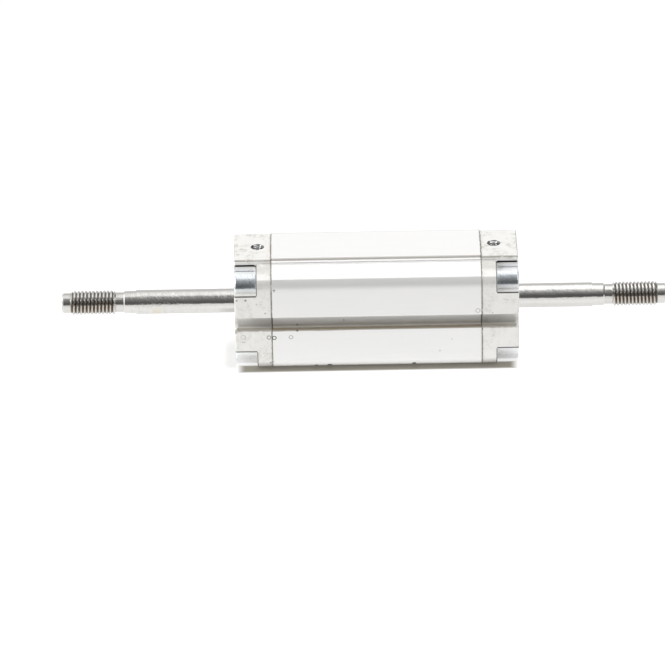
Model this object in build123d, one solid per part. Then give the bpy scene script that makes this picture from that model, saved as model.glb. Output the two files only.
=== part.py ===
from build123d import *
import os

# A double-rod compact cylinder lying on its flat base. Millimetres.
# X runs along the rods, Y across the body and Z up.
# The origin is the middle of the base, under the middle of the barrel.

# Body section
body_side = 45.0
corner_r = 8.5
plateau_w = 25.1
plateau_h = 2.1
plateau_edge_r = 0.7
plateau_foot_r = 0.5
shoulder_flat = 0.7
shoulder_drop = 3.3
cap_plateau_drop = 0.4

# Sensor slots along the front and the back
slot_mouth = 5.2
slot_lip = 2.4
slot_inner_w = 8.0
slot_inner_t = 3.2
slot_lip_r = 0.5
slot_inner_r = 0.8
slot_lead = 1.2
slot_lead_angle = 30.0

# Bore and stroke
bore_d = 25.0
bore_lead = 0.6
bore_lead_len = 1.2
stroke = 60.0
stop_gap = 0.2
rest_place = -5.0

# End caps
cap_len = 15.1
cap_edge = 0.5
seam_edge = 0.2
spigot_len = 3.7
spigot_gap = 0.05
notch_from_axis = 12.7
rod_hole_gap = 0.3

# Cap screws, one at each corner of a cap
screw_spacing = 26.0
head_d = 12.8
head_len = 8.9
head_edge = 0.6
head_gap = 0.2
shank_d = 6.0
shank_hole_gap = 0.25
shank_grip = 12.0
shank_tip = 0.7
tapped_gap = 0.05
tapped_spare = 1.5
face_thread_d = 4.2
face_thread_depth = 8.0
key_size = 3.0
key_depth = 3.0

# Air ports and passages
port_d = 4.2
port_mouth_d = 5.5
port_depth = 6.5
port_from_end = 9.6
passage_d = 2.0
passage_wall = 0.3

# Rods
rod_d = 10.0
rod_stub = 5.75
collar_d = 9.3
collar_len = 5.1
collar_edge = 0.4
undercut_d = 8.3
undercut_len = 3.9
thread_d = 10.0
thread_len = 17.8
dog_d = 8.3
dog_len = 3.8
dog_edge = 0.7
stud_d = 6.0
stud_grip = 9.0
stud_gap = 0.05
stud_hole_spare = 1.0

# Rod bearing and rod seal in each cap
bush_wall = 1.5
bush_len = 10.0
bush_running_gap = 0.03
seal_seat_wall = 3.0
seal_seat_depth = 5.2
seal_recess = 0.4
seal_len = 4.4
seal_lip_len = 1.2
seal_lip_t = 0.95
seal_wiper_len = 0.6
seal_heel_edge = 0.6
seal_running_gap = 0.05

# Static ring and buffer ring on each cap's spigot
ring_groove_w = 2.2
ring_groove_depth = 1.5
ring_groove_from_flange = 0.9
buffer_wall = 1.6
buffer_bore_gap = 0.9
buffer_seat_depth = 2.0
buffer_stand = 0.5
buffer_edge = 0.35

# Piston, split in the middle so that its rings can be fitted
piston_len = 17.0
piston_gap = 0.2
piston_edge = 0.4
guide_w = 5.0
guide_t = 1.1
guide_gap = 0.08
magnet_w = 4.0
magnet_t = 3.2
piston_seal_w = 3.0
piston_seal_land = 1.5
piston_seal_t = 2.9
piston_seal_gap = 0.05
piston_seal_floor_gap = 0.08
piston_seal_side_gap = 0.1
piston_lip_t = 0.97
piston_lip_tip_t = 0.48
piston_lip_len = 1.4
piston_lip_land = 0.7
core_ring_d = 1.4

# Small gap between pieces that are fixed together
seat_gap = 0.02
tiny = 0.001

# Values that follow
half_side = body_side / 2
bore_r = bore_d / 2
rod_r = rod_d / 2
axis_height = half_side
barrel_len = stroke + piston_len + 2 * (spigot_len + buffer_stand + stop_gap)
seam_x = barrel_len / 2
end_x = seam_x + cap_len
spigot_x = seam_x - spigot_len
cap_top = half_side + plateau_h - cap_plateau_drop
screw_r = screw_spacing / 2
pocket_x = end_x - head_len
port_x = end_x - port_from_end
buffer_r = rod_r + buffer_bore_gap + buffer_wall
passage_r = buffer_r + passage_wall + passage_d / 2
corners = [(y, z) for y in (-screw_r, screw_r) for z in (-screw_r, screw_r)]


def bar(diameter, start, end, y=0.0, z=0.0):
    """A round bar along X, from start to end."""
    blank = Cylinder(diameter / 2, end - start, align=(Align.CENTER, Align.CENTER, Align.MIN))
    return Pos(start, y, z) * Rot(0, 90, 0) * blank


def turned(points):
    """A turned piece about the rods' axis, from points of place along X and radius."""
    return revolve(Plane.XZ * make_face(Polyline(*points, close=True)), Axis.X)


def near(value, target):
    """Whether two places are the same."""
    return abs(value - target) < tiny


def slot_outline(side):
    """The T-shaped opening of a sensor slot, on the front (-1) or the back (1)."""
    mouth_t = 2 * slot_lip + slot_inner_t
    mouth = Pos(side * half_side, 0) * Rectangle(mouth_t, slot_mouth)
    inner_middle = half_side - slot_lip - slot_inner_t / 2
    inner = Pos(side * inner_middle, 0) * RectangleRounded(slot_inner_t, slot_inner_w, slot_inner_r)
    return mouth + inner


def shoulder_waste(side):
    """What the sloping shoulder beside the raised flat leaves off a top corner, at -Y (-1) or +Y (1)."""
    arc_middle = half_side - corner_r
    edge_z = half_side - shoulder_drop
    edge_y = arc_middle + (corner_r**2 - (edge_z - arc_middle)**2)**0.5
    flat_end = plateau_w / 2 + shoulder_flat
    clear = half_side + shoulder_drop
    points = [(flat_end, half_side), (edge_y, edge_z), (clear, edge_z), (clear, clear), (flat_end, clear)]
    return make_face(Polyline(*[(side * y, z) for y, z in points], close=True))


def body_outline(raised):
    """The outline across the body, with its raised top flat and both sensor slots."""
    top = half_side + raised
    outline = RectangleRounded(body_side, body_side, corner_r)
    outline -= [shoulder_waste(-1), shoulder_waste(1)]
    outline += Pos(0, half_side) * Rectangle(plateau_w, 2 * raised)
    crests = [v for v in outline.vertices() if near(v.Y, top)]
    outline = fillet(crests, plateau_edge_r)
    flanks = ShapeList([v for v in outline.vertices() if near(abs(v.X), plateau_w / 2)])
    outline = fillet(flanks.sort_by(Axis.Y)[:2], plateau_foot_r)
    for side in (-1, 1):
        outline -= slot_outline(side)
    on_sides = [v for v in outline.vertices() if near(abs(v.X), half_side)]
    lips = [v for v in on_sides if near(abs(v.Y), slot_mouth / 2)]
    return fillet(lips, slot_lip_r)


def barrel():
    """The extruded barrel, bored through, with four tapped holes in each end."""
    solid = extrude(Plane.YZ.offset(-seam_x) * body_outline(plateau_h), barrel_len)
    for end in (0, -1):
        rim = solid.faces().sort_by(Axis.X)[end].outer_wire().edges()
        solid = chamfer(rim, seam_edge)
    solid -= bar(bore_d, -seam_x, seam_x)
    tapped_d = shank_d + 2 * tapped_gap
    for side in (-1, 1):
        lead_end = seam_x - bore_lead_len
        mouth = [(seam_x, 0), (seam_x, bore_r + bore_lead), (lead_end, bore_r), (lead_end, 0)]
        solid -= turned([(side * x, r) for x, r in mouth])
        inner = side * (seam_x - shank_grip - tapped_spare)
        start, end = sorted((inner, side * seam_x))
        for y, z in corners:
            solid -= bar(tapped_d, start, end, y, z)
    return solid


def end_cap():
    """The cap of the +X end: a square block with a round spigot that enters the bore."""
    outline = body_outline(plateau_h - cap_plateau_drop)
    solid = extrude(Plane.YZ.offset(seam_x) * outline, cap_len)
    for end, edge in ((0, seam_edge), (-1, cap_edge)):
        rim = solid.faces().sort_by(Axis.X)[end].outer_wire().edges()
        solid = chamfer(rim, edge)
    for side in (-1, 1):
        lead = Plane.YZ.offset(end_x - slot_lead) * slot_outline(side)
        solid -= extrude(lead, slot_lead + cap_edge, taper=-slot_lead_angle)
    solid += bar(bore_d - 2 * spigot_gap, spigot_x, seam_x)
    solid -= screw_pockets()
    solid -= rod_passage()
    solid -= air_way()
    solid -= ring_groove()
    return solid


def screw_pockets():
    """What is cut from a cap for its screws: open corners, head pockets and shank holes."""
    notch = body_side - notch_from_axis
    place = notch_from_axis + notch / 2
    cuts = []
    for y, z in corners:
        corner = Box(head_len, notch, notch, align=(Align.MIN, Align.CENTER, Align.CENTER))
        cuts.append(Pos(pocket_x, place * y / screw_r, place * z / screw_r) * corner)
        cuts.append(bar(head_d + 2 * head_gap, pocket_x, end_x, y, z))
        cuts.append(bar(shank_d + 2 * shank_hole_gap, seam_x, pocket_x, y, z))
    return cuts


def bush_seat_x():
    """The inner end of the bush's seat in the +X cap."""
    return end_x - seal_seat_depth - bush_len


def rod_passage():
    """What is cut from a cap along its axis, for the rod, its bush, its seal and the buffer."""
    seal_seat_d = rod_d + 2 * seal_seat_wall
    seal_seat = bar(seal_seat_d, end_x - seal_seat_depth, end_x)
    bush_seat = bar(rod_d + 2 * bush_wall, bush_seat_x(), end_x)
    clear = bar(rod_d + 2 * rod_hole_gap, spigot_x, end_x)
    buffer_seat = bar(2 * buffer_r, spigot_x, spigot_x + buffer_seat_depth)
    return [seal_seat, bush_seat, clear, buffer_seat]


def air_way():
    """What is cut from a cap for air: the port from the top and the drilling to the bore."""
    down = (Align.CENTER, Align.CENTER, Align.MAX)
    port = Pos(port_x, 0, cap_top) * Cylinder(port_d / 2, port_depth, align=down)
    mouth_t = (port_mouth_d - port_d) / 2
    mouth = Pos(port_x, 0, cap_top) * Cone(port_d / 2, port_mouth_d / 2, mouth_t, align=down)
    drop = Pos(port_x, 0, cap_top) * Cylinder(passage_d / 2, cap_top - passage_r, align=down)
    along = bar(passage_d, spigot_x, port_x + passage_d / 2, 0, passage_r)
    return [port, mouth, drop, along]


def ring_groove():
    """The groove round a cap's spigot for its static ring."""
    outer = bar(bore_d, groove_x() - ring_groove_w / 2, groove_x() + ring_groove_w / 2)
    floor_d = bore_d - 2 * ring_groove_depth
    return outer - bar(floor_d, seam_x - spigot_len, seam_x)


def groove_x():
    """The middle of the static ring's groove."""
    return seam_x - ring_groove_from_flange - ring_groove_w / 2


def cap_screws():
    """The four collar screws of the +X cap, each with a threaded hole and a key socket."""
    screws = []
    tip = seam_x - shank_grip
    for y, z in corners:
        head = bar(head_d, pocket_x, end_x, y, z)
        head = chamfer(head.edges().sort_by(Axis.X)[-1], head_edge)
        shank = bar(shank_d, tip, pocket_x, y, z)
        shank = chamfer(shank.edges().sort_by(Axis.X)[0], shank_tip)
        screw = head + shank
        hole_x = end_x - face_thread_depth
        screw -= bar(face_thread_d, hole_x, end_x, y, z)
        key = extrude(RegularPolygon(key_size / 2, 6, major_radius=False), key_depth)
        screw -= Pos(hole_x - key_depth, y, z) * Rot(0, 90, 0) * key
        screws.append(screw)
    return Compound(screws)


def rod_bush():
    """The plain bearing pressed into the +X cap."""
    outer_r = rod_r + bush_wall - seat_gap
    inner_r = rod_r + bush_running_gap
    start = bush_seat_x() + seat_gap
    end = start + bush_len - 2 * seat_gap
    return turned([(start, inner_r), (end, inner_r), (end, outer_r), (start, outer_r)])


def rod_seal():
    """The lipped seal round the rod, just inside the +X cap's outer face."""
    outer_r = rod_r + seal_seat_wall - seat_gap
    lip_r = rod_r + seal_running_gap
    hollow_r = lip_r + seal_lip_t
    end = end_x - seal_recess
    start = end - seal_len
    return turned([
        (start, lip_r),
        (start + seal_lip_len, lip_r),
        (start + seal_lip_len, hollow_r),
        (end - seal_lip_len, hollow_r),
        (end - seal_wiper_len, lip_r),
        (end, lip_r),
        (end - seal_wiper_len, hollow_r),
        (end - seal_wiper_len, outer_r - seal_heel_edge),
        (end - seal_lip_len, outer_r),
        (start, outer_r),
    ])


def cap_o_ring():
    """The static ring in the groove of the +X cap's spigot."""
    floor_r = bore_r - ring_groove_depth
    middle_r = (bore_r + floor_r) / 2
    section_r = ring_groove_depth / 2 - seat_gap
    return Pos(groove_x(), 0, 0) * Rot(0, 90, 0) * Torus(middle_r, section_r)


def buffer_ring():
    """The soft ring that stops the piston, proud of the +X cap's spigot."""
    outer_r = buffer_r - seat_gap
    inner_r = rod_r + buffer_bore_gap
    end = spigot_x + buffer_seat_depth - seat_gap
    start = spigot_x - buffer_stand
    return turned([
        (start, inner_r + buffer_edge),
        (start, outer_r - buffer_edge),
        (start + buffer_edge, outer_r),
        (end, outer_r),
        (end, inner_r),
        (start + buffer_edge, inner_r),
    ])


def piston_half():
    """The +X half of the piston, with steps for the magnet, the guide and a seal."""
    outer_r = bore_r - piston_gap
    hole_r = stud_d / 2 + stud_gap
    guide_floor = outer_r - guide_t
    magnet_floor = guide_floor - magnet_t
    groove_end = piston_len / 2 - piston_seal_land
    groove_start = groove_end - piston_seal_w
    groove_floor = bore_r - piston_seal_gap - piston_seal_t - piston_seal_floor_gap
    end = piston_len / 2
    recess = core_ring_d / 2 + seat_gap
    return turned([
        (0, hole_r + 2 * recess),
        (0, magnet_floor),
        (magnet_w / 2, magnet_floor),
        (magnet_w / 2, guide_floor),
        (guide_w / 2, guide_floor),
        (guide_w / 2, outer_r),
        (groove_start, outer_r),
        (groove_start, groove_floor),
        (groove_end, groove_floor),
        (groove_end, outer_r),
        (end - piston_edge, outer_r),
        (end, outer_r - piston_edge),
        (end, hole_r),
        (recess, hole_r),
        (recess, hole_r + 2 * recess),
    ])


def piston_seal():
    """The lipped seal in the groove of the piston's +X half."""
    outer_r = bore_r - piston_seal_gap
    inner_r = outer_r - piston_seal_t
    groove_end = piston_len / 2 - piston_seal_land
    end = groove_end - piston_seal_side_gap
    start = groove_end - piston_seal_w + piston_seal_side_gap
    root = end - piston_lip_len
    return turned([
        (start, inner_r),
        (end, inner_r),
        (end, inner_r + piston_lip_tip_t),
        (root, inner_r + piston_lip_t),
        (root, outer_r - piston_lip_t),
        (end, outer_r - piston_lip_tip_t),
        (end, outer_r),
        (end - piston_lip_land, outer_r),
        (start, outer_r - piston_lip_t),
    ])


def piston_guide_ring():
    """The plain band that guides the piston's middle in the bore."""
    outer_r = bore_r - guide_gap
    inner_r = bore_r - piston_gap - guide_t + guide_gap
    half = guide_w / 2 - guide_gap
    return turned([(-half, inner_r), (half, inner_r), (half, outer_r), (-half, outer_r)])


def magnet_ring():
    """The ring magnet under the guide band."""
    outer_r = bore_r - piston_gap - guide_t - seat_gap
    inner_r = bore_r - piston_gap - guide_t - magnet_t + seat_gap
    half = magnet_w / 2 - seat_gap
    return turned([(-half, inner_r), (half, inner_r), (half, outer_r), (-half, outer_r)])


def piston_o_ring():
    """The ring that seals the stud where the piston's halves meet."""
    middle_r = stud_d / 2 + stud_gap + core_ring_d / 2 + seat_gap
    return Rot(0, 90, 0) * Torus(middle_r, core_ring_d / 2)


def rod_shoulder():
    """Where the full rod ends and its stepped end starts, measured from the piston's middle."""
    return end_x + stroke / 2 + rod_stub


def rod_profile():
    """Places and radii of the outer end of the +X rod, from its full diameter to its tip."""
    collar = rod_shoulder() + collar_len
    undercut = collar + undercut_len
    thread = undercut + thread_len
    tip = thread + dog_len
    return [
        (rod_shoulder(), rod_r),
        (rod_shoulder() + (rod_d - collar_d) / 2, collar_d / 2),
        (collar - collar_edge, collar_d / 2),
        (collar, collar_d / 2 - collar_edge),
        (collar, undercut_d / 2),
        (undercut, undercut_d / 2),
        (undercut, thread_d / 2),
        (thread, thread_d / 2),
        (thread, dog_d / 2),
        (tip - dog_edge, dog_d / 2),
        (tip, dog_d / 2 - dog_edge),
        (tip, 0),
    ]


def right_piston_rod():
    """The +X rod, with the stud that passes through the piston."""
    inner = piston_len / 2
    stud_end = -inner - stud_grip
    stud_r = stud_d / 2
    stud = [(stud_end, 0), (stud_end, stud_r - shank_tip), (stud_end + shank_tip, stud_r), (inner, stud_r)]
    return turned(stud + [(inner, rod_r)] + rod_profile())


def left_piston_rod():
    """The -X rod, with the tapped hole that takes the stud."""
    inner = piston_len / 2
    hole_r = stud_d / 2 + stud_gap
    hole_end = inner + stud_grip + stud_hole_spare
    hole = [(hole_end, 0), (hole_end, hole_r), (inner, hole_r)]
    return mirror(turned(hole + [(inner, rod_r)] + rod_profile()), about=Plane.YZ)


def save(name, shape, along=0.0):
    """Lift a piece so that the body stands on its base, and write it."""
    export_step(Pos(along, 0, axis_height) * shape, f"parts/{name}.step")


def save_pair(name, shape, along=0.0):
    """Write a piece of the +X end and its mirror image."""
    save("right_" + name, shape, along)
    save("left_" + name, mirror(shape, about=Plane.YZ), along)


os.makedirs("parts", exist_ok=True)
save("barrel", barrel())
save_pair("cap", end_cap())
save_pair("cap_screws", cap_screws())
save_pair("rod_bush", rod_bush())
save_pair("rod_seal", rod_seal())
save_pair("cap_o_ring", cap_o_ring())
save_pair("buffer_ring", buffer_ring())
save_pair("piston_half", piston_half(), rest_place)
save_pair("piston_seal", piston_seal(), rest_place)
save("piston_guide_ring", piston_guide_ring(), rest_place)
save("magnet_ring", magnet_ring(), rest_place)
save("piston_o_ring", piston_o_ring(), rest_place)
save("left_piston_rod", left_piston_rod(), rest_place)
save("right_piston_rod", right_piston_rod(), rest_place)
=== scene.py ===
import math
import random

import bmesh
import bpy
import numpy as np
from mathutils import Matrix, Vector
from mathutils.geometry import tessellate_polygon


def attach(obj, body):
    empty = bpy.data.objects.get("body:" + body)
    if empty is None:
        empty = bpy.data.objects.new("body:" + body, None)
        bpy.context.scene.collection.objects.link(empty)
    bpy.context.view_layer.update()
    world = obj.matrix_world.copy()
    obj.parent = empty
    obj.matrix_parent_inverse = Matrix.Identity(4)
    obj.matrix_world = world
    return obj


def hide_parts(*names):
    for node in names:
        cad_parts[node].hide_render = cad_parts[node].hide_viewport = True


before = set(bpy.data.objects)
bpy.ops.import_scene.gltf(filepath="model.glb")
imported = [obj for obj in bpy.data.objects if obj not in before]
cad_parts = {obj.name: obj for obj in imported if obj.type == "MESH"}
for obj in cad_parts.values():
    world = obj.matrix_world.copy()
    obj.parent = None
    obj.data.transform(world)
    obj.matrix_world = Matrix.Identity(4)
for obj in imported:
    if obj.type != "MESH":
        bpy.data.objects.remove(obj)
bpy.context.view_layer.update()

# The barrel: one length of clear anodised aluminium extrusion, satin, with a raised flat along the top
# and a T-slot along the front and the back. It is sawn to length, faced, bored and honed, and tapped at
# both ends for the cap screws. Handling has left small nicks, rings and brown dirt on it.

# All sizes are in millimetres. In a finish, z is the height above the base and up the height above the axis
mm = 0.001
axis_height = 22.5
half_side = 22.5
corner_r = 8.5
plateau_half = 12.55
plateau_h = 2.1
plateau_edge_r = 0.7
plateau_foot_r = 0.5
shoulder_flat = 0.7
shoulder_drop = 3.3
slot_half = 2.6
slot_back = 20.1
slot_floor = 16.9
slot_inner_half = 4.0
slot_lip_r = 0.5
slot_inner_r = 0.8
seam_x = 42.9
seam_edge = 0.2
bore_r = 12.5
bore_lead = 0.6
bore_lead_len = 1.2
screw_place = 13.0
corners = [(y, z) for y in (-screw_place, screw_place) for z in (-screw_place, screw_place)]
tapped_r = 3.05
tapped_depth = 13.5
shoulder_z = axis_height + half_side
crown_z = shoulder_z + plateau_h
front_y = -15.0
nick_steps = (-0.75, -0.5, -0.25, 0.0, 0.25, 0.5, 0.75)
barrel_shine = 0.84


class Feed:
    """A socket of a finish's nodes. Arithmetic on feeds adds Math nodes to the same finish."""

    def __init__(self, tree, socket):
        self.tree = tree
        self.socket = socket

    def node(self, kind, settings, sockets, output=0):
        """Any other node: its settings, which are set first, then the values or feeds of its sockets."""
        made = self.tree.nodes.new(kind)
        for name, value in settings.items():
            if name == "stops":
                ramp = made.color_ramp.elements
                while len(ramp) < len(value):
                    ramp.new(0.5)
                for stop, (place, grey) in zip(ramp, value):
                    stop.position = place
                    stop.color = (grey, grey, grey, 1.0)
            else:
                setattr(made, name, value)
        for name, value in sockets.items():
            if isinstance(value, Feed):
                self.tree.links.new(value.socket, made.inputs[name])
            else:
                made.inputs[name].default_value = value
        return Feed(self.tree, made.outputs[output])

    def math(self, operation, *terms):
        return self.node("ShaderNodeMath", {"operation": operation}, dict(enumerate(terms)))

    def larger(self, other):
        return self.math("MAXIMUM", self, other)

    def smaller(self, other):
        return self.math("MINIMUM", self, other)

    def __add__(self, other):
        return self.math("ADD", self, other)

    __radd__ = __add__

    def __sub__(self, other):
        return self.math("SUBTRACT", self, other)

    def __rsub__(self, other):
        return self.math("SUBTRACT", other, self)

    def __mul__(self, other):
        return self.math("MULTIPLY", self, other)

    __rmul__ = __mul__

    def __truediv__(self, other):
        return self.math("DIVIDE", self, other)

    def __abs__(self):
        return self.math("ABSOLUTE", self)

    def __pow__(self, power):
        return self.math("POWER", self, power)

    def step(self, low, high):
        """0 below low and 1 above high, with a smooth rise between; falls if low is the higher."""
        settings = {"interpolation_type": "SMOOTHSTEP"}
        if low > high:
            return 1 - self.step(high, low)
        return self.node("ShaderNodeMapRange", settings, {"Value": self, "From Min": low, "From Max": high})

    def parts(self):
        """The three parts of a place or direction."""
        return [self.node("ShaderNodeSeparateXYZ", {}, {0: self}, i) for i in range(3)]

    def stretched(self, x, y, z):
        """A place with each of its parts multiplied."""
        return self.node("ShaderNodeVectorMath", {"operation": "MULTIPLY"}, {0: self, 1: (x, y, z)})

    def noise(self, scale, detail=2.0, rough=0.5, bend=0.0):
        """Noise at a place, about 0.5 in the middle."""
        sockets = {"Vector": self, "Scale": scale, "Detail": detail, "Roughness": rough, "Distortion": bend}
        return self.node("ShaderNodeTexNoise", {}, sockets)

    def mixed(self, first, second):
        """A colour that goes from first to second as this value goes from 0 to 1."""
        settings = {"data_type": "RGBA", "clamp_factor": True}
        colours = [(*c, 1.0) if isinstance(c, tuple) else c for c in (first, second)]
        return self.node("ShaderNodeMix", settings, {0: self, 6: colours[0], 7: colours[1]}, 2)

    def darkened(self, value):
        """A colour with each of its parts multiplied by a value."""
        grey = self.node("ShaderNodeCombineColor", {}, {0: value, 1: value, 2: value})
        settings = {"data_type": "RGBA", "blend_type": "MULTIPLY"}
        return self.node("ShaderNodeMix", settings, {0: 1.0, 6: self, 7: grey}, 2)


def new_finish(name):
    """A new material and the place in millimetres that its patterns start from."""
    material = bpy.data.materials.new(name)
    material.use_nodes = True
    tree = material.node_tree
    start = Feed(tree, None).node("ShaderNodeTexCoord", {}, {}, "Object")
    return material, start.stretched(1 / mm, 1 / mm, 1 / mm)


def set_surface(material, bump=None, bump_depth=0.0, **sockets):
    """Give a material's surface its values and feeds, and the height in millimetres that its bump follows."""
    shader = material.node_tree.nodes["Principled BSDF"]
    for name, value in sockets.items():
        socket = shader.inputs[name.replace("_", " ")]
        if isinstance(value, Feed):
            material.node_tree.links.new(value.socket, socket)
        elif isinstance(value, tuple):
            socket.default_value = (*value, 1.0)
        else:
            socket.default_value = value
    if bump is not None:
        sockets = {"Height": bump, "Distance": bump_depth * mm, "Strength": 1.0}
        normal = bump.node("ShaderNodeBump", {}, sockets)
        material.node_tree.links.new(normal.socket, shader.inputs["Normal"])


def angles_round(count):
    """The angles of evenly spaced points round a circle."""
    return np.arange(count) * (2 * math.pi / count)


def circle(radius, count, x=0.0, y=0.0, z=0.0):
    """Points round a circle that faces along X. Its radius may differ from point to point."""
    angles = angles_round(count)
    return np.stack([np.full(count, x), y + radius * np.cos(angles), z + radius * np.sin(angles)], 1)


def arc(y, z, radius, start, end, steps):
    """Points on an arc about (y, z), from one angle to another in degrees."""
    angles = [math.radians(start + (end - start) * i / steps) for i in range(steps + 1)]
    return [(y + radius * math.cos(a), z + radius * math.sin(a)) for a in angles]


def body_outline(raised, longest=1.0):
    """The outline across the body about its axis, and which of its points are inside a sensor slot."""
    turn = half_side - corner_r
    lip = half_side - slot_lip_r
    inner = slot_inner_half - slot_inner_r
    foot = plateau_half + plateau_foot_r
    crest = half_side + raised - plateau_edge_r
    half = [(0.0, -half_side)]
    half += arc(turn, -turn, corner_r, -90, 0, 20)
    slot_from = len(half)
    half += arc(lip, -slot_half - slot_lip_r, slot_lip_r, 0, 90, 5)
    half += [(slot_back, -slot_half)]
    half += arc(slot_back - slot_inner_r, -inner, slot_inner_r, 0, -90, 4)
    half += arc(slot_floor + slot_inner_r, -inner, slot_inner_r, -90, -180, 4)
    half += arc(slot_floor + slot_inner_r, inner, slot_inner_r, 180, 90, 4)
    half += arc(slot_back - slot_inner_r, inner, slot_inner_r, 90, 0, 4)
    half += [(slot_back, slot_half)]
    half += arc(lip, slot_half + slot_lip_r, slot_lip_r, -90, 0, 5)
    slot_to = len(half)
    edge = math.degrees(math.asin((corner_r - shoulder_drop) / corner_r))
    half += arc(turn, turn, corner_r, 0, edge, 14)
    half += [(plateau_half + shoulder_flat, half_side)]
    half += arc(foot, half_side + plateau_foot_r, plateau_foot_r, -90, -180, 4)
    half += arc(plateau_half - plateau_edge_r, crest, plateau_edge_r, 0, 90, 6)
    half += [(0.0, half_side + raised)]
    marked = [(y, z, slot_from <= i < slot_to) for i, (y, z) in enumerate(half)]
    whole = marked + [(-y, z, s) for y, z, s in reversed(marked[1:-1])]
    points = []
    for here, there in zip(whole, whole[1:] + whole[:1]):
        gap = math.dist(here[:2], there[:2])
        steps = max(1, math.ceil(gap / longest))
        for i in range(steps):
            share = i / steps
            points.append([here[0] + (there[0] - here[0]) * share, here[1] + (there[1] - here[1]) * share,
                           here[2] and there[2]])
    ring = np.array(points, float)
    return ring[:, :2], ring[:, 2]


def grown(ring, amount):
    """An outline moved outwards at each point by an amount, which may differ from point to point."""
    ahead = np.roll(ring, -1, 0) - ring
    ahead /= np.linalg.norm(ahead, axis=1)[:, None]
    out = np.stack([ahead[:, 1], -ahead[:, 0]], 1)
    corner = out + np.roll(out, 1, 0)
    corner /= np.maximum((corner * corner).sum(1) / 2, 0.3)[:, None]
    return ring + corner * np.reshape(amount, (-1, 1))


class Shell:
    """The points and faces of a mesh, in millimetres, with z from the rods' axis."""

    def __init__(self):
        self.points = []
        self.faces = []

    def ring(self, points):
        """Add points, and give their numbers."""
        first = len(self.points)
        self.points += [tuple(p) for p in points]
        return list(range(first, len(self.points)))

    def band(self, a, b):
        """Faces between two closed rings, either of which may be a single point."""
        count = max(len(a), len(b))
        for i in range(count):
            face = [a[i % len(a)], a[(i + 1) % len(a)], b[(i + 1) % len(b)], b[i % len(b)]]
            self.faces.append(list(dict.fromkeys(face)))

    def fill(self, *rings):
        """Flat faces inside the first ring and outside the others."""
        numbers = [n for ring in rings for n in ring]
        lines = [[Vector(self.points[n]) for n in ring] for ring in rings]
        self.faces += [[numbers[i] for i in face] for face in tessellate_polygon(lines)]

    def turned(self, profile, segments=96):
        """Faces of a piece turned about the rods' axis. A radius may differ from segment to segment."""
        rings = []
        for x, r in profile:
            if np.ndim(r) == 0 and r == 0:
                rings.append(self.ring([(x, 0.0, 0.0)]))
                continue
            rings.append(self.ring(circle(r, segments, x)))
        for a, b in zip(rings, rings[1:]):
            self.band(a, b)
        return rings

    def piece(self, name, sharp=28.0, weld=0.0):
        """The finished object: outside faces outwards, and smooth but for edges sharper than an angle."""
        mesh = bpy.data.meshes.new(name)
        points = np.array(self.points, float)
        points[:, 2] += axis_height
        mesh.from_pydata((points * mm).tolist(), [], self.faces)
        made = bpy.data.objects.new(name, mesh)
        bpy.context.scene.collection.objects.link(made)
        shade(made, sharp, weld)
        return made


def shade(piece, sharp=28.0, weld=0.0):
    """Turn a mesh's faces outwards, smooth it, and keep the edges that are sharper than an angle."""
    work = bmesh.new()
    work.from_mesh(piece.data)
    if weld:
        bmesh.ops.remove_doubles(work, verts=work.verts, dist=weld * mm)
    bmesh.ops.recalc_face_normals(work, faces=work.faces)
    for face in work.faces:
        face.smooth = True
    for edge in work.edges:
        edge.smooth = len(edge.link_faces) == 2 and edge.calc_face_angle() < math.radians(sharp)
    work.to_mesh(piece.data)
    work.free()


def across(ring, x):
    """An outline's points at a place along the body."""
    return np.column_stack([np.full(len(ring), x), ring])


def distance(a, b):
    """How far off a place is, by its two offsets at right angles."""
    return (a * a + b * b) ** 0.5


def ring_line(away, radius):
    """A thin round line about a place, by how far the places around are from it."""
    half_width = 0.30
    return away.step(radius - half_width, radius) * away.step(radius + half_width, radius)


def slot_places(y, up, lip_end):
    """Where dirt and painted shade go in a sensor slot, each 1 there and 0 elsewhere: the whole slot, its
    lower half, its low end, its lower lip, the line kept light on that lip by wear and a painted highlight,
    the skin below, and the lip's rounded edge."""
    whole = abs(y).step(half_side, half_side - 0.12) * abs(up).step(4.6, slot_inner_half)
    lower_half = up.step(-0.4, -slot_half)
    low_end = up.step(-2.3, -3.4)
    below_mouth = up.step(-2.3, -2.55)
    lip = abs(y).step(slot_back - 0.2, slot_back + 0.1) * below_mouth
    worn_and_lit_line = abs(abs(y) - slot_back - 0.1).step(0.20, 0.10) * below_mouth
    at_skin = abs(y).step(half_side - 0.7, half_side - 0.4)
    skin_below = at_skin * up.step(-2.9, -3.05) * up.step(-3.55, -3.25)
    lip_round = at_skin * below_mouth * up.step(-lip_end, 0.18 - lip_end)
    return whole, lower_half, low_end, lip, worn_and_lit_line, skin_below, lip_round


# Nicks: place along X, height from the axis, size and depth
front_nicks = [(-24.9, -21.2, 0.9, 0.28), (-19.5, -21.3, 1.1, 0.32), (15.0, -21.0, 0.9, 0.22),
               (-34.0, -21.4, 0.6, 0.15)]

# Marks on the front: place along X, height from the axis, radius and strength
front_rings = [(-42.0, -6.3, 0.75, 1.6), (-35.2, -6.1, 0.75, 0.7), (41.2, 4.6, 0.85, 0.6)]
front_spots = [(-41.7, 15.2, 0.75, 0.8), (-42.4, -17.6, 0.5, 0.5), (10.0, -6.75, 0.5, 0.6),
               (30.5, -8.1, 0.6, 0.3), (25.6, -13.3, 0.6, 0.3), (-24.9, -20.8, 1.10, 1.3),
               (-19.5, -20.7, 1.30, 1.3), (15.0, -20.6, 1.15, 1.3), (-13.5, -1.5, 0.60, 1.1),
               (-32.6, -3.3, 0.60, 1.0)]

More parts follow.
